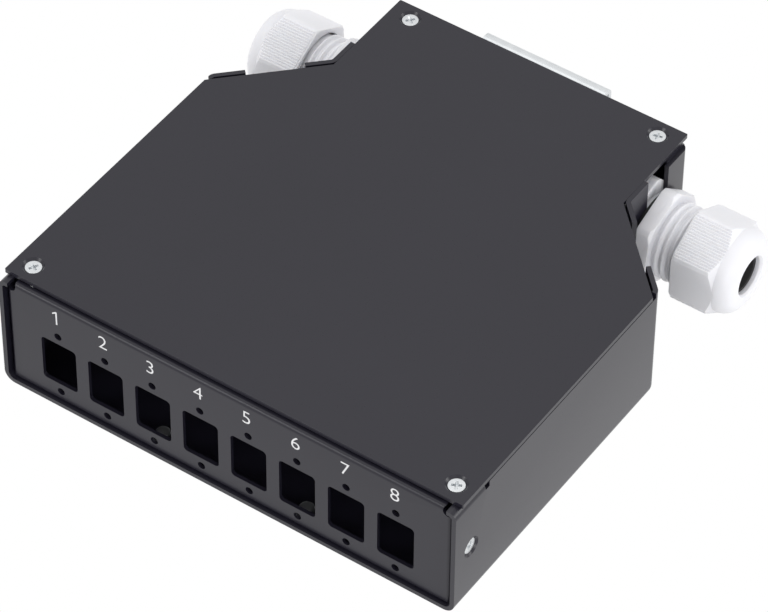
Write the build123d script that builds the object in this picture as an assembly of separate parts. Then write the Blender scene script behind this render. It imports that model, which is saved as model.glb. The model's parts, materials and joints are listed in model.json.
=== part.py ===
from build123d import *
import math
import os

# Box: driving sizes in millimetres, drawn from a point midway between the side walls and
# just in front of the cover, with z = 0 on the underside of the base
box_width = 130.0
box_height = 35.0
sheet = 1.2
side_length = 80.0
chamfer_run = 22.7
cover_front = 0.5
neck_length = 29.0
cover_corner = 0.3
tray_front_reach = 2.2
rear_wall_inset = 1.3
side_to_chamfer_gap = 0.6
neck_gap = 0.05
bottom_bend = 3.0
corner_bend = 2.2

# Front panel with its eight adapter cut-outs
panel_sheet = 1.0
panel_recess = 1.0
panel_side_gap = 0.6
panel_floor_gap = 0.5
panel_cover_gap = 0.4
panel_bend = 1.1
panel_flange_depth = 11.0
panel_lip = 1.85
panel_notch_width = 12.0
relief_hole = 3.0
relief_inset = 1.0
port_count = 8
port_pitch = 13.8
port_width = 10.2
port_height = 13.7
port_corner = 1.1
port_centre_height = 13.6
port_row_offset = -0.3
port_screw_spacing = 18.8
port_screw_hole = 2.1

# Screws
small_thread = 2.5
small_head = 4.25
small_screw_length = 6.0
countersink = 5.6
cover_screw_edge = 4.9
cover_screw_front = 5.2
cover_screw_rear = 4.3
neck_screw_edge = 5.95
panel_screw_back = 4.5
panel_screw_height = 17.3
thread_clearance = 0.02
small_hole_clearance = 0.1
head_rim = 0.2
head_edge = 0.05
head_clearance = 0.02
screw_point = 0.3
cross_share = 0.58
cross_arm_share = 0.3125
cross_core_share = 0.72
collar_wall = 0.7
collar_depth = 1.2
pilot_start = 0.5

# Folded screw tabs of the base
tab_bend = 2.0
tab_length = 12.0
tab_reach = 11.0
tab_relief = 1.5
tab_notch = 2.7
tab_front_gap = 4.2
wall_drop = 0.3
rear_side_drop = 1.1
rear_tab_length = 16.0
rear_tab_reach = 8.0
rear_tab_bend = 1.7

# Chamfer returns left standing at both ends of each chamfer
return_from_side = 8.5
return_from_neck = 7.0

# Pressed-in studs behind the panel's lower edge
stud_spacing = 41.6
stud_diameter = 4.0
stud_height = 3.6
stud_clearance = 0.2
stud_pin = 2.4
stud_pin_clearance = 0.02
stud_round = 0.6
flush_gap = 0.1

# Cable gland
gland_from_chamfer = 12.3
gland_height = 16.8
slot_width = 9.4
slot_offset = 1.6
washer_thickness = 1.15
washer_inset = 1.2
gland_thread = 18.4
gland_hole_clearance = 0.2
gland_flats = 22.5
hex_thickness = 4.2
hex_corner = 12.5
hex_chamfer = 0.7
hex_edge = 1.2
hex_face_land = 0.5
hex_turn = 18.7
cap_thread = 20.0
cap_start = 11.0
cap_length = 16.0
cap_prism = 10.2
cap_shoulder = 11.7
cap_mouth = 10.2
cap_wall_end = 1.7
cap_turn = 30.0
cap_edge = 1.6
cap_rim_chamfer = 0.6
cap_shoulder_step = 0.1
cap_mouth_land = 2.0
cap_bore_end = 8.6
cap_cone = (8.5, 8.3, 7.4)
cap_bore_clearance = 0.06
body_bore = 12.6
finger_end = 19.6
finger_root = 8.2
finger_tip = 7.6
finger_chamfer = 0.5
finger_count = 6
finger_slit = 0.8
slit_under_cap = 5.0
thread_depth = 0.7
thread_rings = 3
thread_under_cap = 4.5
seal_length = 4.0
seal_radius = 6.6
seal_reach = 0.7
seal_gap = 0.1
seal_round = 0.5
rib_count = 17
rib_pitch = 0.74
rib_height = 0.25
rib_flank = 0.32
rib_sunk = 0.3
rib_start = 0.5
lock_nut_flats = 24.0
lock_nut_thickness = 4.5
lock_nut_turn = 12.0
lock_nut_edge = 1.0
lock_nut_trim = 0.4
shank_end = 7.5
shank_chamfer = 0.6

# Rail clip on the rear wall, for 35 mm top-hat rail
rail_width = 35.0
rail_lip = 1.0
clip_width = 36.0
clip_sheet = 1.2
clip_top_drop = 0.4
clip_corner = 2.0
hook_slot = 1.5
hook_bend = 1.6
hook_drop = 3.4
clip_foot_gap = 2.0
rib_spacing = 26.0
clip_rib_width = 8.0
clip_rib_rise = 5.0
clip_rib_drop = 5.6
latch_sheet = 0.9
latch_clearance = 0.1
latch_guide = 0.15
latch_bite = 0.6
latch_lip = 2.4
latch_top_drop = 4.6
pull_width = 10.0
pull_drop = 4.2
pull_corner = 1.5
pull_slot = 5.2
pull_slot_height = 1.6
pull_slot_edge = 1.2
spring_slot_gap = 0.4
spring_slot_depth = 5.0
rail_lip_room = 0.6
spring_diameter = 3.6
spring_wire = 0.5
spring_turns = 6
spring_end_gap = 0.02
spring_side_gap = 0.05
window_width = 5.0
window_rise = 8.0
window_length = 13.0
spring_tab_width = 2.6
clip_thread = 3.0
clip_head = 5.0
clip_head_height = 1.8
clip_screw_length = 6.0
clip_hole_clearance = 0.2
clip_rib_clearance = 0.1
clip_nut_flats = 5.5
clip_nut_thickness = 2.4
pan_recess = 0.55
pan_recess_depth = 0.6
pan_round = 0.7

# Splice tray on two standoffs
tray_length = 84.0
tray_depth = 46.0
tray_wall = 1.5
tray_rim = 8.0
tray_centre = 62.0
tray_corner = 12.0
tray_entry = 7.0
tray_hole_clearance = 0.2
standoff_height = 4.0
standoff_diameter = 6.0
standoff_spacing = 64.0
standoff_foot_wall = 0.58
comb_slots = 8
comb_pitch = 4.2
comb_slot = 3.0
comb_length = 16.0
comb_height = 5.5
comb_end = 1.0
comb_floor = 1.0
tray_screw_thread = 3.0
tray_screw_head = 5.6
tray_screw_head_height = 2.0
tray_screw_length = 4.8

# Places worked out from the sizes above
half_width = box_width / 2
neck_half = half_width - chamfer_run
chamfer_end = side_length + chamfer_run
cover_back = chamfer_end + neck_length
under_cover = box_height - sheet
wall_top = under_cover - wall_drop
tray_front = -tray_front_reach
panel_front = tray_front + panel_recess
panel_back = panel_front + panel_sheet
neck_out = neck_half + neck_gap + sheet
rear_out = cover_back - rear_wall_inset
gland_back = chamfer_end + gland_from_chamfer
chamfer_sum = half_width + side_length + (side_to_chamfer_gap + sheet) * math.sqrt(2)
side_corner = chamfer_sum - half_width
neck_corner = chamfer_sum - neck_out
panel_half = half_width - sheet - panel_side_gap
panel_bottom = sheet + panel_floor_gap
panel_top = under_cover - panel_cover_gap
hex_start = neck_out + washer_thickness
slit_start = cap_start + slit_under_cap
web_front = rear_out + latch_sheet + 2 * latch_clearance
web_back = web_front + clip_sheet
hook_top = box_height - clip_top_drop
rail_top = hook_top - clip_sheet
rail_bottom = rail_top - rail_width
rail_middle = (rail_top + rail_bottom) / 2
clip_foot = rail_bottom + latch_bite + clip_foot_gap
clip_rib_low = clip_foot + clip_rib_rise
clip_rib_high = hook_top - clip_rib_drop
latch_top = hook_top - latch_top_drop
window_low = clip_foot + window_rise
window_high = window_low + window_length
hook_back = web_back + hook_slot + clip_sheet
latch_half = (rib_spacing - clip_rib_width) / 2 - latch_guide
clip_screw_height = (clip_rib_low + clip_rib_high) / 2
stud_back = panel_back + stud_clearance + stud_diameter / 2


def prism(points, bottom, top):
    """Upright block over a plan outline."""
    return Pos(0, 0, bottom) * extrude(make_face(Polyline(*points, close=True)), top - bottom)


def block(x0, x1, y0, y1, z0, z1):
    """Block between two corners."""
    middle = ((x0 + x1) / 2, (y0 + y1) / 2, (z0 + z1) / 2)
    return Pos(*middle) * Box(x1 - x0, y1 - y0, z1 - z0)


def both_sides(part):
    """A piece and its mirror image in the middle plane."""
    return part + mirror(part, Plane.YZ)


def hexagon(flats, turn):
    """Hexagon face with its first corner at the given angle."""
    return RegularPolygon(flats / 2, 6, major_radius=False, rotation=turn)


def tray_outline(offset):
    """Plan of the base, moved inwards by an offset."""
    slope = offset * math.tan(math.radians(22.5))
    return [
        (-half_width + offset, tray_front),
        (-half_width + offset, side_corner - slope),
        (-neck_out + offset, neck_corner - slope),
        (-neck_out + offset, rear_out - offset),
        (neck_out - offset, rear_out - offset),
        (neck_out - offset, neck_corner - slope),
        (half_width - offset, side_corner - slope),
        (half_width - offset, tray_front),
    ]


def round_folds(pan, outward_radius, inward_radius):
    """Round a pan's upright folds: the two where the neck begins turn the other way."""
    upright = pan.edges().filter_by(Axis.Z).sort_by(Axis.Y)
    pan = fillet(upright[4:6], inward_radius)
    upright = pan.edges().filter_by(Axis.Z).sort_by(Axis.Y)
    return fillet(upright[2:4] + upright[-2:], outward_radius)


def tray_shell():
    """Folded pan: floor, side walls, chamfer walls, neck walls and rear wall."""
    outer = round_folds(prism(tray_outline(0), 0, box_height), corner_bend, corner_bend - sheet)
    inner = round_folds(prism(tray_outline(sheet), sheet, box_height), corner_bend - sheet, corner_bend)
    front_edge = outer.edges().filter_by(Axis.X).group_by(Axis.Y)[0]
    low_edges = outer.edges().group_by(Axis.Z)[0] - front_edge
    outer = fillet(low_edges, bottom_bend)
    front_edge = inner.edges().filter_by(Axis.X).group_by(Axis.Y)[0]
    low_edges = inner.edges().group_by(Axis.Z)[0] - front_edge
    inner = fillet(low_edges, bottom_bend - sheet)
    return outer - inner


def screw_tab(length, reach, bend):
    """Tab folded inwards from a wall: its outer face at x = 0, its top at z = 0, along Y."""
    arc_middle = bend * (1 - math.sqrt(0.5))
    inner = bend - sheet
    inner_middle = sheet + inner * (1 - math.sqrt(0.5))
    with BuildPart() as tab:
        with BuildSketch(Plane.XZ):
            with BuildLine():
                Polyline((sheet, -bend), (0, -bend))
                ThreePointArc((0, -bend), (arc_middle, -arc_middle), (bend, 0))
                Polyline((bend, 0), (reach, 0), (reach, -sheet), (bend, -sheet))
                ThreePointArc((bend, -sheet), (inner_middle, -inner_middle), (sheet, -bend))
            make_face()
        extrude(amount=-length)
    return tab.part


def cover_screw_places():
    """Centres of the four cover screws."""
    front = [(s * (half_width - cover_screw_edge), cover_screw_front) for s in (-1, 1)]
    rear = [(s * (neck_half - neck_screw_edge), cover_back - cover_screw_rear) for s in (-1, 1)]
    return front + rear


def front_tab_room():
    """Cut above the right wall that makes room for the front screw tab and its relief notch."""
    tab_end = tray_front + tab_length
    return block(half_width - 2 * sheet, half_width + 1, tray_front - 1, tab_end + tab_relief,
                 under_cover - tab_bend, box_height)


def front_tab():
    """Screw tab folded in from the right wall, notched to pass behind the panel's top bend."""
    tab = mirror(screw_tab(tab_length, tab_reach, tab_bend), Plane.YZ)
    tab = Pos(half_width, tray_front, under_cover) * tab
    notch = block(half_width - tab_reach - 1, half_width - tab_notch,
                  tray_front - 1, tray_front + tab_front_gap,
                  under_cover - 2 * sheet, under_cover + 1)
    return tab - notch


def rear_tab_room():
    """Cut in the rear wall's top beside the right rear screw tab."""
    middle = neck_half - neck_screw_edge
    return block(middle - rear_tab_length / 2 - tab_relief, middle + rear_tab_length / 2 - 2,
                 rear_out - 2 * sheet, rear_out + 1, under_cover - rear_tab_bend, box_height)


def rear_tab():
    """Screw tab folded forward from the rear wall's top."""
    middle = neck_half - neck_screw_edge
    tab = screw_tab(rear_tab_length - 2, rear_tab_reach, rear_tab_bend)
    return Pos(middle - rear_tab_length / 2, rear_out, under_cover) * Rot(0, 0, -90) * tab


def cover_sink():
    """Countersink that runs through the lid into the tab below it."""
    depth = (countersink - small_thread) / 2
    cone = Cone(small_thread / 2 + small_hole_clearance, countersink / 2, depth)
    return Pos(0, 0, box_height - depth / 2) * cone


def screw_pilot(x, y, top, depth):
    """Threaded hole below a given height."""
    radius = small_thread / 2 + thread_clearance
    return Pos(x, y, top - depth / 2) * Cylinder(radius, depth)


def keyhole(side):
    """Round gland hole with the slot that runs up to the wall's top edge."""
    radius = gland_thread / 2 + gland_hole_clearance
    hole = Pos(side * neck_out, gland_back, gland_height) * Rot(0, 90, 0) * Cylinder(radius, 4 * sheet)
    middle = gland_back + slot_offset
    slot = block(neck_out - 2 * sheet, neck_out + sheet, middle - slot_width / 2, middle + slot_width / 2,
                 gland_height, box_height + 1)
    return hole + (slot if side > 0 else mirror(slot, Plane.YZ))


def chamfer_gap():
    """Stretch of the right chamfer wall that is left out between its two returns."""
    ux, uy = -math.sqrt(0.5), math.sqrt(0.5)
    start = (half_width + ux * return_from_side, side_corner + uy * return_from_side)
    end = (neck_out - ux * return_from_neck, neck_corner - uy * return_from_neck)
    out = 3 * sheet
    points = [
        (start[0] + uy * out, start[1] - ux * out),
        (end[0] + uy * out, end[1] - ux * out),
        (end[0] - uy * out, end[1] + ux * out),
        (start[0] - uy * out, start[1] + ux * out),
    ]
    return prism(points, bottom_bend + sheet, box_height + 1)


def base_tray():
    """Base: one folded sheet with its screw tabs, keyholes and returns."""
    tray = tray_shell()
    side_end = side_length + sheet + wall_drop
    tray -= block(-half_width - 1, half_width + 1, tray_front - 1, side_end, wall_top, box_height + 1)
    tray -= block(-neck_out + sheet, neck_out - sheet, rear_out - sheet - 1, rear_out + 1,
                  wall_top, box_height + 1)
    tray -= block(-neck_out - 1, neck_out + 1, gland_back + slot_offset, rear_out + 1,
                  under_cover - rear_side_drop, box_height + 1)
    tray -= both_sides(front_tab_room())
    tray += both_sides(front_tab())
    tray -= both_sides(rear_tab_room())
    tray += both_sides(rear_tab())
    for x, y in cover_screw_places():
        collar = Cylinder(small_thread / 2 + collar_wall, collar_depth)
        tray += Pos(x, y, under_cover - sheet - collar_depth / 2) * collar
        tray -= screw_pilot(x, y, under_cover + pilot_start, 4 * sheet)
        tray -= Pos(x, y, 0) * cover_sink()
    tray -= chamfer_gap()
    tray -= mirror(chamfer_gap(), Plane.YZ)
    for side in (-1, 1):
        tray -= keyhole(side)
        tray -= panel_screw_sink(side)
        tray -= Pos(side * stud_spacing / 2, stud_back, sheet / 2) * Cylinder(stud_pin / 2, 2 * sheet)
    for x in clip_screw_places():
        place = Pos(x, rear_out, clip_screw_height) * Rot(90, 0, 0)
        tray -= place * Cylinder(clip_thread / 2 + clip_hole_clearance, 4 * sheet)
    for side in (-1, 1):
        place = (side * standoff_spacing / 2, tray_centre, sheet / 2)
        foot = tray_screw_thread / 2 + standoff_foot_wall
        tray -= Pos(*place) * Cylinder(foot + thread_clearance, 2 * sheet)
    return tray


def panel_screw_sink(side):
    """Countersunk hole in a side wall for the screw that holds the panel."""
    place = Pos(side * half_width, panel_screw_back, panel_screw_height) * Rot(0, side * 90, 0)
    depth = (countersink - small_thread) / 2
    sink = Pos(0, 0, -depth / 2) * Cone(small_thread / 2 + small_hole_clearance, countersink / 2, depth)
    return place * (sink + Cylinder(small_thread / 2 + small_hole_clearance, 4 * sheet))


def port_centres():
    """Middle of each adapter cut-out along the panel."""
    return [port_row_offset + port_pitch * (i - (port_count - 1) / 2) for i in range(port_count)]


def front_panel():
    """Panel folded back at its top and both ends, with the cut-outs and their screw holes."""
    depth = panel_flange_depth
    outer = block(-panel_half, panel_half, panel_front, panel_front + depth, panel_bottom, panel_top)
    bend_edges = outer.edges().filter_by(Axis.Z).group_by(Axis.Y)[0]
    bend_edges += outer.edges().filter_by(Axis.X).group_by(Axis.Y)[0].sort_by(Axis.Z)[-1:]
    outer = fillet(bend_edges, panel_bend)
    inner = block(-panel_half + panel_sheet, panel_half - panel_sheet, panel_back,
                  panel_front + depth + 1, panel_bottom - 1, panel_top - panel_sheet)
    bend_edges = inner.edges().filter_by(Axis.Z).group_by(Axis.Y)[0]
    bend_edges += inner.edges().filter_by(Axis.X).group_by(Axis.Y)[0].sort_by(Axis.Z)[-1:]
    inner = fillet(bend_edges, panel_bend - panel_sheet)
    panel = outer - inner
    for side in (-1, 1):
        corner = Pos(side * (panel_half - relief_inset), panel_front + relief_inset, panel_top - relief_inset)
        panel -= corner * Rot(90, 0, 0) * Cylinder(relief_hole / 2, 6 * panel_sheet)
        notch = block(panel_half - panel_notch_width, panel_half + 1, panel_front + panel_lip,
                      panel_front + depth + 1, panel_top - panel_bend - relief_hole / 2, panel_top + 1)
        panel -= notch if side > 0 else mirror(notch, Plane.YZ)
        face = Pos(side * panel_half, panel_screw_back, panel_screw_height) * Rot(0, 90, 0)
        panel -= face * Cylinder(small_thread / 2 + thread_clearance, 6 * panel_sheet)
    for x in port_centres():
        opening = RectangleRounded(port_width, port_height, port_corner)
        place = Pos(x, panel_back + 1, port_centre_height) * Rot(90, 0, 0)
        panel -= place * extrude(opening, 4 * panel_sheet)
        for up in (-1, 1):
            z = port_centre_height + up * port_screw_spacing / 2
            hole = Cylinder(port_screw_hole / 2, 4 * panel_sheet)
            panel -= Pos(x, panel_back, z) * Rot(90, 0, 0) * hole
    return panel


def cover():
    """Flat lid with clipped rear corners and four countersunk holes."""
    points = [
        (-half_width, cover_front),
        (-half_width, side_length),
        (-neck_half, chamfer_end),
        (-neck_half, cover_back),
        (neck_half, cover_back),
        (neck_half, chamfer_end),
        (half_width, side_length),
        (half_width, cover_front),
    ]
    plate = prism(points, under_cover, box_height)
    sharp = plate.edges().filter_by(Axis.Z)
    corners = sharp.group_by(Axis.Y)[0] + sharp.group_by(Axis.Y)[-1]
    plate = fillet(corners, cover_corner)
    for x, y in cover_screw_places():
        plate -= Pos(x, y, 0) * cover_sink()
        plate -= Pos(x, y, box_height - sheet) * Cylinder(small_thread / 2 + small_hole_clearance, 4 * sheet)
    return plate


def cross_recess(size, depth):
    """Cross-shaped driver recess, opening upwards at z = 0."""
    arm = size * cross_arm_share
    recess = Pos(0, 0, -depth / 2) * (Box(size, arm, depth) + Box(arm, size, depth))
    return recess + Pos(0, 0, -depth / 2) * Cylinder(arm * cross_core_share, depth)


def flat_screw(thread, head, length):
    """Countersunk screw standing with its head's face at z = 0."""
    cone_height = (head - thread) / 2
    with BuildPart() as screw:
        with BuildSketch(Plane.XZ):
            with BuildLine():
                Polyline((0, 0), (head / 2 - head_edge, 0), (head / 2, -head_edge), (head / 2, -head_rim),
                         (thread / 2, -head_rim - cone_height), (thread / 2, screw_point - length),
                         (thread / 2 - screw_point, -length), (0, -length), close=True)
            make_face()
        revolve(axis=Axis.Z)
    return screw.part - cross_recess(head * cross_share, cone_height)


def sunk_depth(head):
    """How far a head sits below the face of its countersink."""
    return (countersink - head) / 2 - head_rim + head_clearance


def cover_screws():
    """Four screws that hold the lid to the folded tabs."""
    screw = flat_screw(small_thread, small_head, small_screw_length)
    top = box_height - sunk_depth(small_head)
    screws = []
    for i, (x, y) in enumerate(cover_screw_places()):
        screws.append(Pos(x, y, top) * Rot(0, 0, 25 + 40 * i) * screw)
    return screws


def panel_screws():
    """One screw through each side wall into the panel's end flange."""
    screw = flat_screw(small_thread, small_head, small_screw_length)
    face = half_width - sunk_depth(small_head)
    screws = []
    for side in (-1, 1):
        place = Pos(side * face, panel_screw_back, panel_screw_height) * Rot(0, side * 90, 0)
        screws.append(place * Rot(0, 0, 20) * screw)
    return screws


def panel_studs():
    """Two studs pressed into the floor right behind the panel, which stop it being pushed in."""
    studs = []
    for side in (-1, 1):
        head = Pos(0, 0, sheet + stud_height / 2) * Cylinder(stud_diameter / 2, stud_height)
        head = fillet(head.edges().group_by(Axis.Z)[-1], stud_round)
        pin = Cylinder(stud_pin / 2 - stud_pin_clearance, sheet - 2 * flush_gap)
        pin = Pos(0, 0, sheet / 2 + flush_gap) * pin
        studs.append(Pos(side * stud_spacing / 2, stud_back, 0) * (head + pin))
    return studs


def on_gland(part, side):
    """Stand a piece drawn along +Z from the hexagon's inner face onto a gland's axis."""
    if side < 0:
        part = mirror(part, Plane.XZ)
    return Pos(side * hex_start, gland_back, gland_height) * Rot(0, side * 90, 0) * Rot(0, 0, 90) * part


def ring(outer, inner, start, length):
    """Plain ring along Z."""
    tube = Cylinder(outer, length) - Cylinder(inner, 2 * length)
    return Pos(0, 0, start + length / 2) * tube


def gland_body():
    """Moulded body: mounting thread, hexagon, cap thread and clamping fingers."""
    nut = extrude(hexagon(gland_flats, hex_turn), hex_thickness)
    nut = fillet(nut.edges().filter_by(Axis.Z), hex_edge)
    with BuildPart() as trim:
        with BuildSketch(Plane.XZ):
            with BuildLine():
                Polyline((0, -1), (hex_corner, -1), (hex_corner, hex_thickness - hex_chamfer),
                         (gland_flats / 2 + hex_face_land, hex_thickness), (0, hex_thickness), close=True)
            make_face()
        revolve(axis=Axis.Z)
    nut = nut & trim.part
    shank = Pos(0, 0, -shank_end / 2) * Cylinder(gland_thread / 2, shank_end)
    shank = chamfer(shank.edges().group_by(Axis.Z)[0], shank_chamfer)
    crest = cap_thread / 2
    root = crest - thread_depth
    step = (cap_start - hex_thickness) / (thread_rings + 0.5)
    profile = [(0, hex_thickness), (root, hex_thickness)]
    for i in range(thread_rings):
        base = hex_thickness + step * (i + 0.35)
        profile += [(root, base), (crest, base + 0.3 * step)]
        profile += [(crest, base + 0.5 * step), (root, base + 0.8 * step)]
    top = finger_end
    profile += [(root, cap_start + thread_under_cap), (finger_root, slit_start + 0.2)]
    profile += [(finger_tip, top - finger_chamfer), (finger_tip - finger_chamfer, top), (0, top)]
    with BuildPart() as spigot:
        with BuildSketch(Plane.XZ):
            with BuildLine():
                Polyline(*profile, close=True)
            make_face()
        revolve(axis=Axis.Z)
    body = nut + shank + spigot.part
    body -= Pos(0, 0, (finger_end - shank_end) / 2) * Cylinder(body_bore / 2, finger_end + shank_end + 2)
    for i in range(finger_count):
        slit = block(0, crest, -finger_slit / 2, finger_slit / 2, slit_start, top + 1)
        body -= Rot(0, 0, 360 / finger_count * i) * slit
    return body


def gland_cap():
    """Domed cap nut: rounded hexagon with three ribbed flats, threaded inside."""
    corner = gland_flats / math.sqrt(3)
    nut = extrude(hexagon(gland_flats, cap_turn), cap_length)
    nut = fillet(nut.edges().filter_by(Axis.Z), cap_edge)
    flat = gland_flats / 2
    low = -rib_count * rib_pitch / 2
    profile = [(flat - rib_sunk, low)]
    for i in range(rib_count):
        start = low + i * rib_pitch
        profile += [(flat, start), (flat + rib_height, start + rib_flank * rib_pitch),
                    (flat + rib_height, start + (1 - rib_flank) * rib_pitch)]
    profile += [(flat, -low), (flat - rib_sunk, -low)]
    ribs = extrude(make_face(Polyline(*profile, close=True)), cap_shoulder - rib_start)
    ribs = Pos(0, 0, rib_start) * ribs
    for face in range(3):
        nut += Rot(0, 0, 120 * face) * ribs
    mouth = cap_mouth / 2
    shoulder = gland_flats / 2 + cap_shoulder_step
    with BuildPart() as envelope:
        with BuildSketch(Plane.XZ):
            with BuildLine():
                Polyline((0, 0), (corner - cap_rim_chamfer, 0), (corner, cap_rim_chamfer),
                         (corner, cap_prism), (shoulder, cap_shoulder))
                Bezier((shoulder, cap_shoulder), (shoulder - 0.2, cap_length - 2.0),
                       (mouth + 4.4, cap_length), (mouth + cap_mouth_land, cap_length))
                Polyline((mouth + cap_mouth_land, cap_length), (0, cap_length), (0, 0))
            make_face()
        revolve(axis=Axis.Z)
    nut = nut & envelope.part
    bore = cap_thread / 2 + cap_bore_clearance
    with BuildPart() as hollow:
        with BuildSketch(Plane.XZ):
            with BuildLine():
                Polyline((0, -1), (bore, -1), (bore, cap_bore_end), (cap_cone[0], cap_bore_end + 0.3),
                         (cap_cone[1], 10.5), (cap_cone[2], cap_length - cap_wall_end),
                         (mouth, cap_length - cap_wall_end), (mouth, cap_length - cap_rim_chamfer),
                         (mouth + cap_rim_chamfer, cap_length + 0.1), (0, cap_length + 0.1), close=True)
            make_face()
        revolve(axis=Axis.Z)
    return Pos(0, 0, cap_start) * (nut - hollow.part)


def gland_seal():
    """Rubber ring that the cap squeezes onto the cable."""
    seal_end = cap_start + cap_length - cap_wall_end - seal_gap
    seal = ring(seal_radius, cap_mouth / 2 - seal_reach, seal_end - seal_length, seal_length)
    return fillet(seal.edges().group_by(Axis.Z)[0], seal_round)


def gland_washer():
    """Flat rubber washer between the hexagon and the wall."""
    bore = gland_thread / 2 + thread_clearance
    return ring(gland_flats / 2 - washer_inset, bore, -washer_thickness, washer_thickness)


def gland_lock_nut():
    """Hexagon nut inside the box that pulls the gland against the wall."""
    nut = extrude(hexagon(lock_nut_flats, lock_nut_turn), lock_nut_thickness)
    nut = fillet(nut.edges().filter_by(Axis.Z), lock_nut_edge)
    corner = lock_nut_flats / math.sqrt(3)
    nut = nut & Cylinder(corner - lock_nut_trim, 3 * lock_nut_thickness)
    nut -= Cylinder(gland_thread / 2 + thread_clearance, 4 * lock_nut_thickness)
    return Pos(0, 0, -washer_thickness - sheet - lock_nut_thickness) * nut


def clip_screw_places():
    """Places of the clip's two fixing screws to left and right."""
    return [-rib_spacing / 2, rib_spacing / 2]


def hook_outline():
    """Side view of the clip: web, U-bend over the rail's lip and down-turned lip, in Y and Z."""
    outer = hook_bend
    inner = hook_bend - clip_sheet
    bottom = clip_foot
    quarter = 1 - math.sqrt(0.5)
    with BuildSketch(Plane.YZ) as sketch:
        with BuildLine():
            Polyline((web_front, bottom), (web_front, hook_top - outer))
            ThreePointArc((web_front, hook_top - outer),
                          (web_front + outer * quarter, hook_top - outer * quarter),
                          (web_front + outer, hook_top))
            Line((web_front + outer, hook_top), (hook_back - outer, hook_top))
            ThreePointArc((hook_back - outer, hook_top),
                          (hook_back - outer * quarter, hook_top - outer * quarter),
                          (hook_back, hook_top - outer))
            Polyline((hook_back, hook_top - outer), (hook_back, hook_top - hook_drop),
                     (hook_back - clip_sheet, hook_top - hook_drop),
                     (hook_back - clip_sheet, hook_top - outer))
            ThreePointArc((hook_back - clip_sheet, hook_top - outer),
                          (hook_back - clip_sheet - inner * quarter, hook_top - clip_sheet - inner * quarter),
                          (hook_back - outer, hook_top - clip_sheet))
            Line((hook_back - outer, hook_top - clip_sheet), (web_front + outer, hook_top - clip_sheet))
            ThreePointArc((web_front + outer, hook_top - clip_sheet),
                          (web_back + inner * quarter, hook_top - clip_sheet - inner * quarter),
                          (web_back, hook_top - outer))
            Polyline((web_back, hook_top - outer), (web_back, bottom), (web_front, bottom))
        make_face()
    return sketch.sketch


def rail_clip():
    """Pressed clip plate with its hook, two guide ribs, a spring window and a spring tab."""
    plate = extrude(hook_outline(), clip_width / 2, both=True)
    plate = fillet(plate.edges().filter_by(Axis.Y).group_by(Axis.Z)[0], clip_corner)
    rib_depth = web_front - rear_out
    rib_length = clip_rib_high - clip_rib_low
    shape = SlotOverall(rib_length, clip_rib_width, rotation=90)
    hollow = SlotOverall(rib_length - 2 * clip_sheet, clip_rib_width - 2 * clip_sheet, rotation=90)
    hole = Cylinder(clip_thread / 2 + clip_rib_clearance, 8 * clip_sheet)
    for x in clip_screw_places():
        plate += Pos(x, web_front, clip_screw_height) * Rot(90, 0, 0) * extrude(shape, rib_depth)
        plate -= Pos(x, web_back - rib_depth, clip_screw_height) * Rot(90, 0, 0) * extrude(hollow, -rib_depth)
        plate -= Pos(x, web_back, clip_screw_height) * Rot(90, 0, 0) * hole
    plate -= block(-window_width / 2, window_width / 2, web_front - 1, web_back + 1, window_low, window_high)
    half = spring_tab_width / 2
    plate += block(-half, half, web_front, web_back + spring_diameter, window_low - clip_sheet, window_low)
    return plate


def spring_top():
    """Height of the underside of the latch's spring tab."""
    return window_high - latch_clearance - latch_sheet


def rail_latch():
    """Sliding latch: plate between the clip's ribs, lower hook, pull tab and spring tab."""
    front = rear_out + latch_clearance
    back = front + latch_sheet
    lip_top = rail_bottom + latch_bite
    flange_low = lip_top - latch_sheet
    plate = block(-latch_half, latch_half, front, back, flange_low, latch_top)
    half = spring_tab_width / 2
    slot_half = half + spring_slot_gap
    plate -= block(-slot_half, slot_half, front - 1, back + 1, spring_top() - spring_slot_depth, spring_top())
    lip_front = web_back + rail_lip + rail_lip_room
    lip_back = lip_front + latch_sheet
    plate += block(-latch_half, latch_half, front, lip_back, flange_low, lip_top)
    plate += block(-latch_half, latch_half, lip_front, lip_back, flange_low, lip_top + latch_lip)
    pull = block(-pull_width / 2, pull_width / 2, front, back, flange_low - pull_drop, flange_low)
    pull = fillet(pull.edges().filter_by(Axis.Y).group_by(Axis.Z)[0], pull_corner)
    slot_low = flange_low - pull_drop + pull_slot_edge
    pull -= block(-pull_slot / 2, pull_slot / 2, front - 1, back + 1, slot_low, slot_low + pull_slot_height)
    plate += pull
    plate += block(-half, half, front, web_back + spring_diameter, spring_top(), spring_top() + latch_sheet)
    return plate


def latch_spring():
    """Coil spring between the clip's lower tab and the latch's upper tab."""
    radius = (spring_diameter - spring_wire) / 2
    length = spring_top() - window_low - 2 * spring_end_gap
    pitch = (length - spring_wire) / spring_turns
    path = Helix(pitch, length - spring_wire, radius)
    section = Plane(origin=path @ 0, z_dir=path % 0) * Circle(spring_wire / 2)
    coil = sweep(section, path=path, is_frenet=True)
    foot = window_low + spring_end_gap + spring_wire / 2
    return Pos(0, web_back + spring_diameter / 2 + spring_side_gap, foot) * coil


def pan_screw(thread, head, head_height, length):
    """Pan-head screw standing with its head's underside at z = 0."""
    top = Pos(0, 0, head_height / 2) * Cylinder(head / 2, head_height)
    top = fillet(top.edges().group_by(Axis.Z)[-1], pan_round)
    shank = Pos(0, 0, -length / 2) * Cylinder(thread / 2, length)
    recess = Pos(0, 0, head_height) * cross_recess(pan_recess * head, pan_recess_depth * head_height)
    return top + shank - recess


def clip_screws():
    """Two pan-head screws in the clip's guide ribs."""
    floor = web_back - (web_front - rear_out)
    screw = pan_screw(clip_thread, clip_head, clip_head_height, clip_screw_length)
    screws = []
    for x in clip_screw_places():
        screws.append(Pos(x, floor, clip_screw_height) * Rot(-90, 0, 0) * Rot(0, 0, x) * screw)
    return screws


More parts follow.
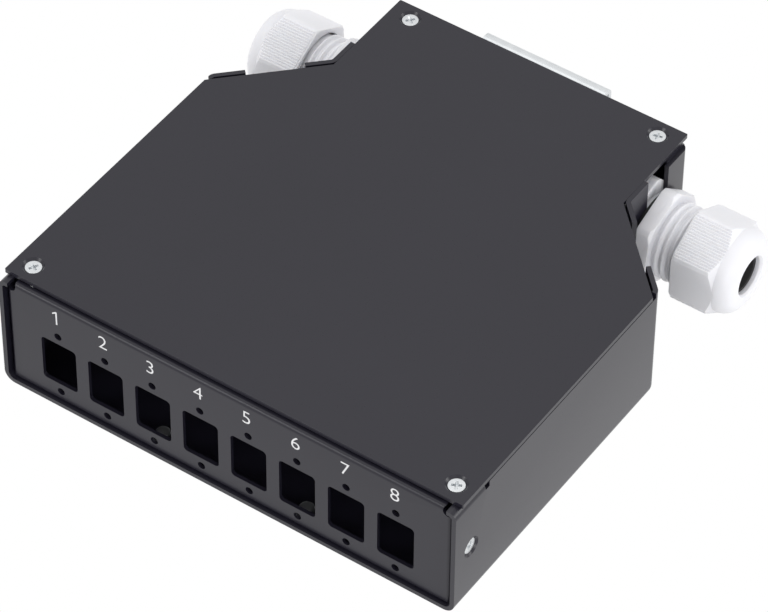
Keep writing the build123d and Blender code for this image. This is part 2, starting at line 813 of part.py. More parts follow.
def clip_nuts():
    """Hexagon nuts on the clip's screws, inside the rear wall."""
    nuts = []
    for x in clip_screw_places():
        nut = extrude(hexagon(clip_nut_flats, 0), clip_nut_thickness)
        nut -= Cylinder(clip_thread / 2 + thread_clearance, 3 * clip_nut_thickness)
        nuts.append(Pos(x, rear_out - sheet, clip_screw_height) * Rot(90, 0, 0) * nut)
    return nuts


def tray_standoffs():
    """Two threaded standoffs pressed into the floor under the splice tray."""
    parts = []
    for side in (-1, 1):
        bore = tray_screw_thread / 2 + thread_clearance
        post = ring(standoff_diameter / 2, bore, sheet, standoff_height)
        foot = ring(tray_screw_thread / 2 + standoff_foot_wall, bore, flush_gap, sheet - flush_gap)
        parts.append(Pos(side * standoff_spacing / 2, tray_centre, 0) * (post + foot))
    return parts


def splice_tray():
    """Moulded tray with a low rim and two screw lugs."""
    base = sheet + standoff_height
    outer = RectangleRounded(tray_length, tray_depth, tray_corner)
    inner = RectangleRounded(tray_length - 2 * tray_wall, tray_depth - 2 * tray_wall, tray_corner - tray_wall)
    tray = Pos(0, tray_centre, base) * extrude(outer, tray_rim)
    tray -= Pos(0, tray_centre, base + tray_wall) * extrude(inner, tray_rim)
    for side in (-1, 1):
        hole = Cylinder(tray_screw_thread / 2 + tray_hole_clearance, 4 * tray_wall)
        hole = Pos(side * standoff_spacing / 2, tray_centre, base) * hole
        entry = Pos(side * tray_length / 2, tray_centre + tray_depth / 4, base + tray_wall + tray_rim / 2)
        tray -= hole
        tray -= entry * Box(4 * tray_wall, tray_entry, tray_rim)
    return tray


def splice_holder():
    """Comb that grips the splice protectors in the middle of the tray."""
    base = sheet + standoff_height + tray_wall
    width = comb_pitch * comb_slots + 2 * comb_end
    comb = Pos(0, tray_centre, base + comb_height / 2) * Box(width, comb_length, comb_height)
    for i in range(comb_slots):
        x = comb_pitch * (i - (comb_slots - 1) / 2)
        slot = Box(comb_slot, comb_length + 1, comb_height)
        comb -= Pos(x, tray_centre, base + comb_floor + comb_height / 2) * slot
    return comb


def tray_screws():
    """Two pan-head screws through the splice tray into its standoffs."""
    top = sheet + standoff_height + tray_wall
    screw = pan_screw(tray_screw_thread, tray_screw_head, tray_screw_head_height, tray_screw_length)
    return [Pos(side * standoff_spacing / 2, tray_centre, top) * screw for side in (-1, 1)]


def put_in_place(parts):
    """Move pieces so that the origin is the middle of the rail's seat on the clip."""
    parts = parts if isinstance(parts, list) else [parts]
    moved = [Pos(0, -web_back, -rail_middle) * p for p in parts]
    solids = [s for p in moved for s in p.solids()]
    return Compound(children=solids) if len(solids) > 1 else solids[0]


def gland_pieces():
    """Every piece of both glands by node name."""
    makers = {
        "gland_body": gland_body(),
        "gland_cap_nut": gland_cap(),
        "gland_seal": gland_seal(),
        "gland_washer": gland_washer(),
        "gland_lock_nut": gland_lock_nut(),
    }
    sides = {"left": -1, "right": 1}
    return {f"{word}_{name}": on_gland(part, side)
            for word, side in sides.items() for name, part in makers.items()}


def all_pieces():
    """Every piece of the box by node name."""
    pieces = {
        "base_tray": base_tray(),
        "front_panel": front_panel(),
        "cover": cover(),
        "cover_screws": cover_screws(),
        "panel_screws": panel_screws(),
        "panel_studs": panel_studs(),
        "rail_clip": rail_clip(),
        "rail_latch": rail_latch(),
        "latch_spring": latch_spring(),
        "clip_screws": clip_screws(),
        "clip_nuts": clip_nuts(),
        "tray_standoffs": tray_standoffs(),
        "splice_tray": splice_tray(),
        "splice_holder": splice_holder(),
        "tray_screws": tray_screws(),
    }
    pieces.update(gland_pieces())
    return pieces


os.makedirs("parts", exist_ok=True)
for name, piece in all_pieces().items():
    export_step(put_in_place(piece), f"parts/{name}.step")
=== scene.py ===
import json
import math
import bmesh
import bpy
from mathutils import Matrix, Vector

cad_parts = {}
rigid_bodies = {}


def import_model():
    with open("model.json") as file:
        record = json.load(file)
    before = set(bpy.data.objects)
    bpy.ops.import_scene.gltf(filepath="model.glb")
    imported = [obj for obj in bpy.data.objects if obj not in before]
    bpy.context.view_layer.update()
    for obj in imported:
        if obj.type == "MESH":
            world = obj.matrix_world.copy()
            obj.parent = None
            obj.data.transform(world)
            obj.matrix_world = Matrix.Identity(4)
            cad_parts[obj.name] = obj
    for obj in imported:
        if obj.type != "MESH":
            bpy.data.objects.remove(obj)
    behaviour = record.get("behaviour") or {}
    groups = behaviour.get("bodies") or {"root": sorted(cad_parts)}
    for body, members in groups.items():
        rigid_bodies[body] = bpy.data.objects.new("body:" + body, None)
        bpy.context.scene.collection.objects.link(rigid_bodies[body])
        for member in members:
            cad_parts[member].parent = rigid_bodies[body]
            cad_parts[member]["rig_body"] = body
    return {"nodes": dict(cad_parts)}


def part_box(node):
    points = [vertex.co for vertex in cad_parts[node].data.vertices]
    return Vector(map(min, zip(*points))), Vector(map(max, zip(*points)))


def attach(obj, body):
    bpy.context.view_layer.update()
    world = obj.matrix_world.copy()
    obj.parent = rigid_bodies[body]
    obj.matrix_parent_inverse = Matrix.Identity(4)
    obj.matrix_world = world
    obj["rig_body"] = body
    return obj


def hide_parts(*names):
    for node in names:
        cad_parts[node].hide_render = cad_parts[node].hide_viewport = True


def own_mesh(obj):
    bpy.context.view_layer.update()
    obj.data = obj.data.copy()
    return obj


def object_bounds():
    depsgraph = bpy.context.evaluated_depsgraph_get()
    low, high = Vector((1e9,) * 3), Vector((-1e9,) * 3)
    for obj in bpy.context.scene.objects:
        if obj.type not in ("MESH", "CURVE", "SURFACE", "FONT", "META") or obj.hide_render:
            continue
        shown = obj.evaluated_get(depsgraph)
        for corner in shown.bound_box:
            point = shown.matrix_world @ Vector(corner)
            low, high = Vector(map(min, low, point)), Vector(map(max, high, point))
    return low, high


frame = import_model()
cad_low, cad_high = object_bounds()
MM = 0.001


# Folded base
# The base is one pan of 1.2 mm steel sheet, punched, folded and powder coated in satin black.
# Its cut edges are softened a little by the coat, so they catch a thin line of light.
def piece_of(name, data):
    """New object in the scene with this mesh, text, lamp or camera."""
    piece = bpy.data.objects.new(name, data)
    bpy.context.scene.collection.objects.link(piece)
    return piece


def keep_shown_mesh(piece):
    """Make the shape that a piece's modifiers show its plain mesh, and take the modifiers off."""
    rough = piece.data
    shown = piece.evaluated_get(bpy.context.evaluated_depsgraph_get())
    finished = bpy.data.meshes.new_from_object(shown)
    piece.modifiers.clear()
    piece.data = finished
    bpy.data.meshes.remove(rough)


def soften_edges(piece, width):
    """Round a piece's sharp edges a little."""
    bevel = piece.modifiers.new("soft_edges", "BEVEL")
    bevel.width = width
    bevel.segments = 2
    bevel.limit_method = "ANGLE"
    bevel.angle_limit = math.radians(30.0)
    bevel.use_clamp_overlap = True
    bevel.harden_normals = True
    for face in piece.data.polygons:
        face.use_smooth = True
    keep_shown_mesh(piece)


def softened_copy(node, width):
    """Copy of a CAD piece with merged faces and slightly rounded edges, which stands for the node."""
    merge_distance = 0.002 * MM
    flat_angle = math.radians(1.0)
    mesh = frame["nodes"][node].data.copy()
    piece = piece_of(f"{node}_finished", mesh)
    if "custom_normal" in mesh.attributes:
        mesh.attributes.remove(mesh.attributes["custom_normal"])
    shell = bmesh.new()
    shell.from_mesh(mesh)
    bmesh.ops.remove_doubles(shell, verts=shell.verts, dist=merge_distance)
    bmesh.ops.dissolve_limit(shell, angle_limit=flat_angle, verts=shell.verts, edges=shell.edges)
    shell.to_mesh(mesh)
    shell.free()
    soften_edges(piece, width)
    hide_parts(node)
    return piece


def ride_same_body(piece, node):
    """Make a piece move with the body that its CAD node belongs to."""
    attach(piece, frame["nodes"][node]["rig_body"])


def give(piece, material):
    """Put one material on a piece, in its only slot."""
    piece.data.materials.clear()
    piece.data.materials.append(material)


def finish_node(node, edge_width, material):
    """Show a CAD piece by a copy with softened edges, on the same body and in this material."""
    piece = softened_copy(node, edge_width)
    ride_same_body(piece, node)
    give(piece, material)


def new_tree(name, kind, inputs, outputs):
    """Empty node tree with these named sockets, and the two nodes that hold them."""
    tree = bpy.data.node_groups.new(name, kind)
    for way, sockets in (("INPUT", inputs), ("OUTPUT", outputs)):
        for label, value in sockets.items():
            tree.interface.new_socket(label, in_out=way, socket_type=f"NodeSocket{value}")
    return tree, tree.nodes.new("NodeGroupInput"), tree.nodes.new("NodeGroupOutput")


def grain_group():
    """Shader group for the fine grain of a coat or a moulding: a height, a speckle and a blotch."""
    speckle_fineness = 1.7
    tree, inputs, outputs = new_tree(
        "surface_grain", "ShaderNodeTree", {"Grain Scale": "Float", "Blotch Scale": "Float"},
        {"Height": "Float", "Speckle": "Float", "Blotch": "Float"})
    nodes, links = tree.nodes, tree.links
    place = nodes.new("ShaderNodeTexCoord")
    grain, speckle, blotch = (nodes.new("ShaderNodeTexNoise") for _ in range(3))
    for texture, detail in ((grain, 3.0), (speckle, 1.0), (blotch, 4.0)):
        texture.inputs["Detail"].default_value = detail
        links.new(place.outputs["Object"], texture.inputs["Vector"])
    finer = nodes.new("ShaderNodeMath")
    finer.operation = "MULTIPLY"
    finer.inputs[1].default_value = speckle_fineness
    links.new(inputs.outputs["Grain Scale"], grain.inputs["Scale"])
    links.new(inputs.outputs["Grain Scale"], finer.inputs[0])
    links.new(finer.outputs[0], speckle.inputs["Scale"])
    links.new(inputs.outputs["Blotch Scale"], blotch.inputs["Scale"])
    links.new(grain.outputs["Fac"], outputs.inputs["Height"])
    links.new(speckle.outputs["Fac"], outputs.inputs["Speckle"])
    links.new(blotch.outputs["Fac"], outputs.inputs["Blotch"])
    return tree


surface_grain = grain_group()


def surface_material(name, dark, light, rough, grain_scale, blotch_scale, bump, metal=0.0, shine=0.5):
    """Material whose colour and roughness vary a little over the surface, with a fine grain."""
    relief_depth = 0.02 * MM
    material = bpy.data.materials.new(name)
    material.use_nodes = True
    nodes, links = material.node_tree.nodes, material.node_tree.links
    shader = nodes["Principled BSDF"]
    shader.inputs["Metallic"].default_value = metal
    shader.inputs["Specular IOR Level"].default_value = shine
    grain = nodes.new("ShaderNodeGroup")
    grain.node_tree = surface_grain
    grain.inputs["Grain Scale"].default_value = grain_scale
    grain.inputs["Blotch Scale"].default_value = blotch_scale
    colour = nodes.new("ShaderNodeMix")
    colour.data_type = "RGBA"
    colour.inputs["A"].default_value = (*dark, 1.0)
    colour.inputs["B"].default_value = (*light, 1.0)
    gloss = nodes.new("ShaderNodeMapRange")
    gloss.inputs["To Min"].default_value, gloss.inputs["To Max"].default_value = rough
    relief = nodes.new("ShaderNodeBump")
    relief.inputs["Strength"].default_value = bump
    relief.inputs["Distance"].default_value = relief_depth
    links.new(grain.outputs["Blotch"], colour.inputs["Factor"])
    links.new(grain.outputs["Speckle"], gloss.inputs["Value"])
    links.new(colour.outputs["Result"], shader.inputs["Base Color"])
    links.new(gloss.outputs["Result"], shader.inputs["Roughness"])
    links.new(grain.outputs["Height"], relief.inputs["Height"])
    links.new(relief.outputs["Normal"], shader.inputs["Normal"])
    return material


coat_dark = (0.0106, 0.0098, 0.0166)
coat_light = (0.0136, 0.0126, 0.0206)
black_coat = surface_material(
    "black_powder_coat", coat_dark, coat_light, rough=(0.26, 0.32),
    grain_scale=2200.0, blotch_scale=25.0, bump=0.14, shine=0.46)
base_edge = 0.18 * MM
finish_node("base_tray", base_edge, black_coat)


# Front panel
# A second sheet, 1 mm thick, with eight punched cut-outs and their screw holes, folded back at its
# top and both ends and coated a little duller. It is held by one screw through each side wall.
panel_coat = surface_material(
    "panel_powder_coat", coat_dark, coat_light, rough=(0.28, 0.34),
    grain_scale=2200.0, blotch_scale=25.0, bump=0.14, shine=0.39)
panel_edge = 0.1 * MM
finish_node("front_panel", panel_edge, panel_coat)


# Port numbers
# Thin white figures, one above each cut-out, screen printed on the panel's coat. The ink is a few
# hundredths of a millimetre thick and a little uneven.
port_count = 8
port_pitch = 13.8 * MM
row_middle = -0.64 * MM
first_port = row_middle - port_pitch * (port_count - 1) / 2
number_height = 4.2 * MM
number_over_panel_foot = 25.4 * MM
ink_depth = 0.04 * MM
white_ink = surface_material(
    "white_ink", (0.62, 0.62, 0.63), (0.75, 0.75, 0.76), rough=(0.5, 0.6),
    grain_scale=3000.0, blotch_scale=900.0, bump=0.2)


def figure_one():
    """Mesh of the figure 1 with a flag, drawn by its outline as thin as the others."""
    line = 0.42 * MM
    flag_reach = 0.95 * MM
    flag_drop = 0.75 * MM
    flag_root = 1.2 * line
    right = 0.45 * MM
    left = right - line
    tip = left - flag_reach
    top = number_height
    outline = [(left, 0.0), (right, 0.0), (right, top), (left, top), (tip, top - flag_drop),
               (tip, top - flag_drop - line), (left, top - flag_root)]
    count = len(outline)
    points = [(x, y, ink_depth) for x, y in outline] + [(x, y, -ink_depth) for x, y in outline]
    faces = [tuple(range(count)), tuple(range(2 * count - 1, count - 1, -1))]
    faces += [(i, i + count, (i + 1) % count + count, (i + 1) % count) for i in range(count)]
    mesh = bpy.data.meshes.new("figure_one")
    mesh.from_pydata(points, [], faces)
    return mesh


def typed_figure(number):
    """Mesh of one figure in the built-in typeface, its foot at the origin."""
    height_in_type_size = 0.72
    stroke_trim = 0.06 * MM
    curve = bpy.data.curves.new("figure", "FONT")
    curve.body = str(number)
    curve.size = number_height / height_in_type_size
    curve.align_x = "CENTER"
    curve.extrude = ink_depth
    curve.offset = -stroke_trim
    text = piece_of("figure", curve)
    shown = text.evaluated_get(bpy.context.evaluated_depsgraph_get())
    mesh = bpy.data.meshes.new_from_object(shown)
    bpy.data.objects.remove(text)
    bpy.data.curves.remove(curve)
    return mesh


def number_mesh():
    """The figures 1 to 8 as one mesh on the panel's face."""
    panel_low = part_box("front_panel")[0]
    upright = Matrix.Rotation(math.pi / 2, 4, "X")
    joined = bmesh.new()
    for port in range(port_count):
        figure = typed_figure(port + 1) if port else figure_one()
        foot = (first_port + port * port_pitch, panel_low.y, panel_low.z + number_over_panel_foot)
        figure.transform(Matrix.Translation(foot) @ upright)
        joined.from_mesh(figure)
        bpy.data.meshes.remove(figure)
    mesh = bpy.data.meshes.new("port_numbers")
    joined.to_mesh(mesh)
    joined.free()
    return mesh


port_numbers = piece_of("port_numbers", number_mesh())
ride_same_body(port_numbers, "front_panel")
give(port_numbers, white_ink)


# Studs behind the panel
# Two turned steel studs, zinc plated and pressed into the floor, which stop the panel from being
# pushed in.
zinc_plate = surface_material(
    "zinc_plate", (0.64, 0.66, 0.68), (0.80, 0.82, 0.83), rough=(0.30, 0.44),
    grain_scale=900.0, blotch_scale=350.0, bump=0.15, metal=1.0)
give(frame["nodes"]["panel_studs"], zinc_plate)


# Glands
# Each gland is moulded in pale grey nylon: a hexagon body with a thread on both ends, a domed cap
# nut with ribbed flats and a lock nut inside the wall. Its washer and seal are black rubber.
grey_nylon = surface_material(
    "grey_nylon", (0.74, 0.74, 0.77), (0.78, 0.78, 0.81), rough=(0.34, 0.46),
    grain_scale=1400.0, blotch_scale=80.0, bump=0.12)
nylon_shader = grey_nylon.node_tree.nodes["Principled BSDF"]
nylon_shader.inputs["Subsurface Weight"].default_value = 0.6
nylon_shader.inputs["Subsurface Radius"].default_value = (1.0, 0.95, 0.9)
nylon_shader.inputs["Subsurface Scale"].default_value = 2.0 * MM
black_rubber = surface_material(
    "black_rubber", (0.018, 0.018, 0.018), (0.028, 0.028, 0.028), rough=(0.6, 0.75),
    grain_scale=1800.0, blotch_scale=90.0, bump=0.3)
gland_edge = 0.12 * MM
for side in ("left", "right"):
    for part in ("gland_body", "gland_cap_nut", "gland_lock_nut"):
        finish_node(f"{side}_{part}", gland_edge, grey_nylon)
    for part in ("gland_seal", "gland_washer"):
        give(frame["nodes"][f"{side}_{part}"], black_rubber)


# Splice tray
# A tray and a comb for the splice protectors, both moulded in white plastic. The tray stands on two
# turned standoffs and is held by two screws, all zinc plated.
white_moulding = surface_material(
    "white_moulding", (0.74, 0.74, 0.73), (0.78, 0.78, 0.77), rough=(0.35, 0.45),
    grain_scale=1200.0, blotch_scale=70.0, bump=0.1)
tray_edge = 0.15 * MM
for node in ("splice_tray", "splice_holder"):
    finish_node(node, tray_edge, white_moulding)
for node in ("tray_standoffs", "tray_screws"):
    give(frame["nodes"][node], zinc_plate)


# Cover
# A flat lid of the same 1.2 mm sheet and coat as the base, with clipped rear corners. It lies on the
# base's tabs and is held by four screws in countersunk holes.
cover_edge = 0.2 * MM
finish_node("cover", cover_edge, black_coat)


# Countersunk screws
# Six zinc-plated M2.5 screws with cross recesses: four hold the lid and two hold the panel. One screw
# is drawn once and a node tree sets copies of it in their countersinks, each turned as it was left.
screw_head = 4.25 * MM
screw_thread = 2.5 * MM
screw_length = 6.0 * MM
screw_pitch = 0.45 * MM
screw_core = 0.41 * screw_thread
screw_sunk = 0.495 * MM
head_round_in = 0.10 * MM
head_round_down = 0.08 * MM
head_edge_down = 0.2 * MM
recess_reach = 1.25 * MM
recess_arm = 0.34 * MM
recess_flat = 1.5 * recess_arm
recess_depth = 0.85 * MM
recess_floor_share = 0.62
screw_edge = 0.04 * MM
front_pair_out, front_pair_back = 60.1 * MM, -127.5 * MM
rear_pair_out, rear_pair_back = 36.35 * MM, -5.3 * MM
cover_screw_angles = [28.0, 62.0, 15.0, 50.0]
panel_screw_back, panel_screw_height = -128.2 * MM, 1.4 * MM
panel_screw_angle = 65.0


def cross_outline(share, height):
    """Outline of the cross recess at this share of its size, with small flats in its inner corners."""
    reach, arm, flat = (length * share for length in (recess_reach, recess_arm, recess_flat))
    quarter = [(reach, -arm), (reach, arm), (flat, arm), (arm, flat)]
    points = []
    for turn in range(4):
        spin = Matrix.Rotation(turn * math.pi / 2, 3, "Z")
        points += [spin @ Vector((x, y, height)) for x, y in quarter]
    return points


def screw_mesh():
    """One countersunk screw with its recess and a spiral thread, its head's face at z = 0."""
    shell = bmesh.new()
    steps = 40
    rim = screw_head / 2
    neck = -head_edge_down - (rim - screw_core)

    def ring(radius, height, slope=0.0):
        turns = [2 * math.pi * i / steps for i in range(steps)]
        return [shell.verts.new((radius * math.cos(t), radius * math.sin(t), height - slope * i / steps))
                for i, t in enumerate(turns)]

    def skin(upper, lower):
        count = len(upper)
        for i in range(count):
            j = (i + 1) % count
            shell.faces.new((upper[i], lower[i], lower[j], upper[j]))

    head = [ring(rim - head_round_in, 0.0), ring(rim, -head_round_down), ring(rim, -head_edge_down),
            ring(screw_core, neck)]
    for upper, lower in zip(head, head[1:]):
        skin(upper, lower)
    row_count = int((screw_length + neck) / screw_pitch) * 2
    rows = [ring(screw_core if row % 2 else screw_thread / 2, neck - row * screw_pitch / 2, screw_pitch)
            for row in range(row_count)]
    for upper, lower in zip(rows, rows[1:]):
        for i in range(steps - 1):
            shell.faces.new((upper[i], lower[i], lower[i + 1], upper[i + 1]))
    for row in range(row_count - 3):
        shell.faces.new((rows[row][-1], rows[row + 1][-1], rows[row + 3][0], rows[row + 2][0]))
    bmesh.ops.contextual_create(shell, geom=rows[-1])
    mouth = [shell.verts.new(p) for p in cross_outline(1.0, 0.0)]
    floor = [shell.verts.new(p) for p in cross_outline(recess_floor_share, -recess_depth)]
    skin(mouth, floor)
    shell.faces.new(floor)
    face_edges = [shell.edges.get((loop[i], loop[(i + 1) % len(loop)]))
                  for loop in (head[0], mouth) for i in range(len(loop))]
    bmesh.ops.triangle_fill(shell, use_beauty=True, edges=face_edges)
    bmesh.ops.recalc_face_normals(shell, faces=shell.faces)
    mesh = bpy.data.meshes.new("countersunk_screw")
    shell.to_mesh(mesh)
    shell.free()
    return mesh


def copies_tree():
    """Node tree that sets a copy of one object on each point, turned by the point's own angles."""
    tree, inputs, outputs = new_tree(
        "copies_on_places", "GeometryNodeTree",
        {"Places": "Geometry", "Piece": "Object", "Finish": "Material"}, {"Copies": "Geometry"})
    nodes, links = tree.nodes, tree.links
    one = nodes.new("GeometryNodeObjectInfo")
    turn = nodes.new("GeometryNodeInputNamedAttribute")
    turn.data_type = "FLOAT_VECTOR"
    turn.inputs["Name"].default_value = "turn"
    turned = nodes.new("FunctionNodeEulerToRotation")
    spread = nodes.new("GeometryNodeInstanceOnPoints")
    real = nodes.new("GeometryNodeRealizeInstances")
    finish = nodes.new("GeometryNodeSetMaterial")
    links.new(inputs.outputs["Piece"], one.inputs["Object"])
    links.new(inputs.outputs["Places"], spread.inputs["Points"])
    links.new(one.outputs["Geometry"], spread.inputs["Instance"])
    links.new(turn.outputs["Attribute"], turned.inputs["Euler"])
    links.new(turned.outputs["Rotation"], spread.inputs["Rotation"])
    links.new(spread.outputs["Instances"], real.inputs["Geometry"])
    links.new(real.outputs["Geometry"], finish.inputs["Geometry"])
    links.new(inputs.outputs["Finish"], finish.inputs["Material"])
    links.new(finish.outputs["Geometry"], outputs.inputs["Copies"])
    return tree


copy_places = copies_tree()


def grow_in_place(piece, tree, values):
    """Run a node tree on a piece with the given input values and keep the result as its plain mesh."""
    grow = piece.modifiers.new("grow", "NODES")
    grow.node_group = tree
    for item in tree.interface.items_tree:
        if item.in_out == "INPUT" and item.name in values:
            grow[item.identifier] = values[item.name]
    bpy.context.view_layer.update()
    keep_shown_mesh(piece)


def screws_at(node, places, turns, one_screw):
    """Copies of the one screw on the given places, which stand for the screws' CAD node."""
    mesh = bpy.data.meshes.new(f"{node}_finished")
    mesh.from_pydata(places, [], [])
    turn = mesh.attributes.new("turn", "FLOAT_VECTOR", "POINT")
    for i, angles in enumerate(turns):
        turn.data[i].vector = angles
    screws = piece_of(f"{node}_finished", mesh)
    grow_in_place(screws, copy_places, {"Piece": one_screw, "Finish": zinc_plate})
    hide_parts(node)
    ride_same_body(screws, node)


one_screw = piece_of("one_screw", screw_mesh())
soften_edges(one_screw, screw_edge)
side_face, _, cover_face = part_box("cover")[1]
head_height = cover_face - screw_sunk
cover_pairs = [(front_pair_out, front_pair_back), (rear_pair_out, rear_pair_back)]
cover_places = [(side * out, back, head_height) for out, back in cover_pairs for side in (1, -1)]
cover_turns = [(0.0, 0.0, math.radians(angle)) for angle in cover_screw_angles]
screws_at("cover_screws", cover_places, cover_turns, one_screw)
head_out = side_face - screw_sunk
panel_places = [(side * head_out, panel_screw_back, panel_screw_height) for side in (1, -1)]
own_turn = Matrix.Rotation(math.radians(panel_screw_angle), 3, "Z")
panel_turns = [(Matrix.Rotation(side * math.pi / 2, 3, "Y") @ own_turn).to_euler() for side in (1, -1)]
screws_at("panel_screws", panel_places, panel_turns, one_screw)
bpy.data.objects.remove(one_screw)


# Rail clip
# A zinc-plated pressing with a hook for the rail's upper lip, screwed to the rear wall through its
# two guide ribs. A sprung latch slides behind it and grips the rail's lower lip.
clip_edge = 0.12 * MM
for node in ("rail_clip", "rail_latch"):
    finish_node(node, clip_edge, zinc_plate)
for node in ("clip_screws", "clip_nuts"):
    give(frame["nodes"][node], zinc_plate)


# Latch spring
# A small coil of 0.5 mm zinc-plated wire between the clip's tab and the latch's tab. It is squeezed
# when the latch is pulled down; the drawn coil rides on the body of the spring's CAD node.
spring_wire = 0.5 * MM
spring_turns = 7.0
spring_low, spring_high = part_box("latch_spring")
spring_middle = (spring_low + spring_high) / 2
coil_radius = (spring_high.x - spring_low.x) / 2 - spring_wire / 2
coil_foot = (spring_middle.x, spring_middle.y, spring_low.z + spring_wire / 2)
coil_height = spring_high.z - spring_low.z - spring_wire


def spring_tree():
    """Node tree that sweeps a round wire along a rising spiral."""
    steps_per_turn = 28
    wire_sides = 12
    tree, inputs, outputs = new_tree(
        "coil_spring", "GeometryNodeTree",
        {"Foot": "Vector", "Turns": "Float", "Coil Radius": "Float", "Height": "Float",
         "Wire Radius": "Float", "Finish": "Material"}, {"Spring": "Geometry"})
    nodes, links = tree.nodes, tree.links
    spiral = nodes.new("GeometryNodeCurveSpiral")
    spiral.inputs["Resolution"].default_value = steps_per_turn
    section = nodes.new("GeometryNodeCurvePrimitiveCircle")
    section.inputs["Resolution"].default_value = wire_sides
    sweep = nodes.new("GeometryNodeCurveToMesh")
    sweep.inputs["Fill Caps"].default_value = True
    stand = nodes.new("GeometryNodeTransform")
    real = nodes.new("GeometryNodeRealizeInstances")
    finish = nodes.new("GeometryNodeSetMaterial")
    links.new(inputs.outputs["Turns"], spiral.inputs["Rotations"])
    links.new(inputs.outputs["Coil Radius"], spiral.inputs["Start Radius"])
    links.new(inputs.outputs["Coil Radius"], spiral.inputs["End Radius"])
    links.new(inputs.outputs["Height"], spiral.inputs["Height"])
    links.new(inputs.outputs["Wire Radius"], section.inputs["Radius"])
    links.new(spiral.outputs["Curve"], sweep.inputs["Curve"])
    links.new(section.outputs["Curve"], sweep.inputs["Profile Curve"])
    links.new(sweep.outputs["Mesh"], stand.inputs["Geometry"])
    links.new(inputs.outputs["Foot"], stand.inputs["Translation"])
    links.new(stand.outputs["Geometry"], real.inputs["Geometry"])
    links.new(real.outputs["Geometry"], finish.inputs["Geometry"])
    links.new(inputs.outputs["Finish"], finish.inputs["Material"])
    links.new(finish.outputs["Geometry"], outputs.inputs["Spring"])
    return tree


latch_spring = piece_of("latch_spring_finished", bpy.data.meshes.new("latch_spring"))
grow_in_place(latch_spring, spring_tree(), {
    "Foot": coil_foot, "Turns": spring_turns, "Coil Radius": coil_radius, "Height": coil_height,
    "Wire Radius": spring_wire / 2, "Finish": zinc_plate})
for face in latch_spring.data.polygons:
    face.use_smooth = True
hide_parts("latch_spring")
ride_same_body(latch_spring, "latch_spring")
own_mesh(latch_spring)


# Studio
# A white floor and surroundings, a weak light above, and soft lights from the right rear for the
# glands, from the right front for the side wall and from the front left for the folded edges.
def seen_directly(nodes, links):
    """Mask of the rays that look at the backdrop straight, in a reflection or through glass."""
    path = nodes.new("ShaderNodeLightPath")
    seen = path.outputs["Is Camera Ray"]
    for ray in ("Is Glossy Ray", "Is Transmission Ray"):
        either = nodes.new("ShaderNodeMath")
        either.operation = "MAXIMUM"
        links.new(seen, either.inputs[0])
        links.new(path.outputs[ray], either.inputs[1])
        seen = either.outputs[0]
    return seen


def white_floor():
    """Wide white floor under the lowest point that the pulled latch reaches."""
    half = 3.0
    latch_travel = 3.0 * MM
    clearance = 0.05 * MM
    height = cad_low.z - latch_travel - clearance
    mesh = bpy.data.meshes.new("floor")
    corners = [(x, y, height) for x, y in ((-half, -half), (half, -half), (half, half), (-half, half))]
    mesh.from_pydata(corners, [], [(0, 1, 2, 3)])
    floor = piece_of("floor", mesh)
    material = bpy.data.materials.new("white_floor")
    material.use_nodes = True
    nodes, links = material.node_tree.nodes, material.node_tree.links
    shader = nodes["Principled BSDF"]
    shader.inputs["Base Color"].default_value = (0.92, 0.92, 0.92, 1.0)
    shader.inputs["Roughness"].default_value = 0.9
    glow = nodes.new("ShaderNodeEmission")
    mix = nodes.new("ShaderNodeMixShader")
    links.new(seen_directly(nodes, links), mix.inputs[0])
    links.new(shader.outputs[0], mix.inputs[1])
    links.new(glow.outputs[0], mix.inputs[2])
    links.new(mix.outputs[0], nodes["Material Output"].inputs["Surface"])
    mesh.materials.append(material)


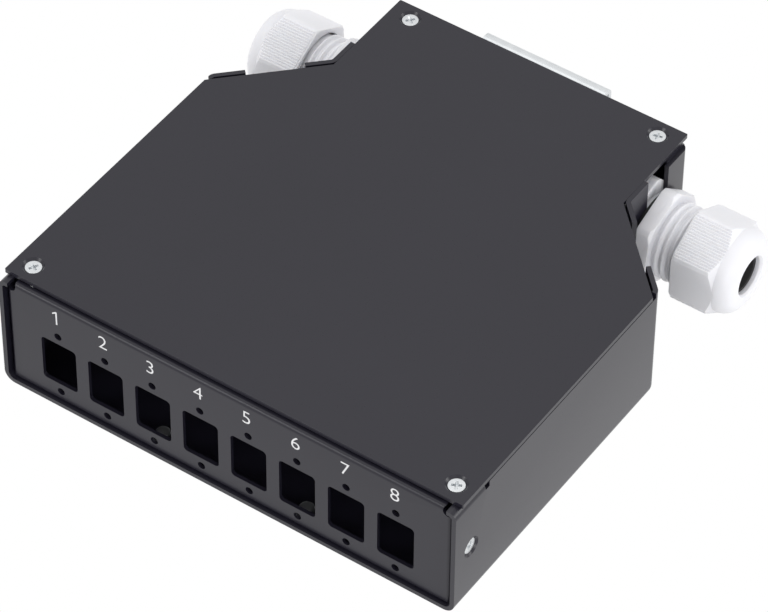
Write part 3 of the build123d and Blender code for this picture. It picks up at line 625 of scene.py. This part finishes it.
def surroundings():
    """Even white world."""
    world = bpy.data.worlds.new("surroundings")
    bpy.context.scene.world = world
    world.use_nodes = True
    nodes, links = world.node_tree.nodes, world.node_tree.links
    fill = nodes["Background"]
    fill.inputs["Color"].default_value = (1.0, 1.0, 1.0, 1.0)
    fill.inputs["Strength"].default_value = 0.9
    backdrop = nodes.new("ShaderNodeBackground")
    backdrop.inputs["Strength"].default_value = 1.0
    path = nodes.new("ShaderNodeLightPath")
    mix = nodes.new("ShaderNodeMixShader")
    links.new(path.outputs["Is Camera Ray"], mix.inputs[0])
    links.new(fill.outputs[0], mix.inputs[1])
    links.new(backdrop.outputs[0], mix.inputs[2])
    links.new(mix.outputs[0], nodes["World Output"].inputs["Surface"])


def soft_light(name, place, size, power):
    """Square soft light that looks at the box."""
    lamp = bpy.data.lights.new(name, "AREA")
    lamp.size = size
    lamp.energy = power
    light = piece_of(name, lamp)
    light.location = place
    aim = (cad_low + cad_high) / 2 - Vector(place)
    light.rotation_euler = aim.to_track_quat("-Z", "Y").to_euler()


white_floor()
surroundings()
soft_light("top_light", place=(-0.2, 0.1, 1.2), size=0.9, power=1.5)
soft_light("side_light", place=(1.1, 0.65, 0.42), size=0.6, power=3.5)
soft_light("front_light", place=(1.2, -0.9, 0.3), size=0.7, power=5.5)
soft_light("edge_light", place=(-0.6, -1.0, 0.8), size=0.45, power=3.0)


# Camera
# Long lens at the photograph's viewing angle, above the right front corner. Its angles are in
# radians, and its distance and slides are taken from the middle of the base's front edge.
focal_pixels = 4571.8
image_width = 768.0
heading = -0.598423
tilt = 0.799661
roll = -0.009425
slide_right = -36.26 * MM
slide_down = 42.649 * MM
distance = 1074.134 * MM
seat_from_front = 132.7 * MM
seat_from_floor = 15.9 * MM


def photo_camera():
    """Camera placed from its heading, tilt, roll and distance."""
    ahead = Vector((math.sin(heading) * math.cos(tilt), math.cos(heading) * math.cos(tilt), -math.sin(tilt)))
    level_right = ahead.cross(Vector((0, 0, 1))).normalized()
    level_down = ahead.cross(level_right)
    right = math.cos(roll) * level_right + math.sin(roll) * level_down
    down = -math.sin(roll) * level_right + math.cos(roll) * level_down
    place = -(right * slide_right + down * slide_down + ahead * distance)
    place -= Vector((0, seat_from_front, seat_from_floor))
    data = bpy.data.cameras.new("photo_camera")
    data.sensor_width = 36.0
    data.lens = focal_pixels / image_width * data.sensor_width
    data.clip_start = 0.05
    data.clip_end = 20.0
    camera = piece_of("photo_camera", data)
    turn = Matrix((right, -down, -ahead)).transposed()
    camera.matrix_world = Matrix.Translation(place) @ turn.to_4x4()
    bpy.context.scene.camera = camera


photo_camera()
bpy.context.scene.view_settings.view_transform = "Standard"
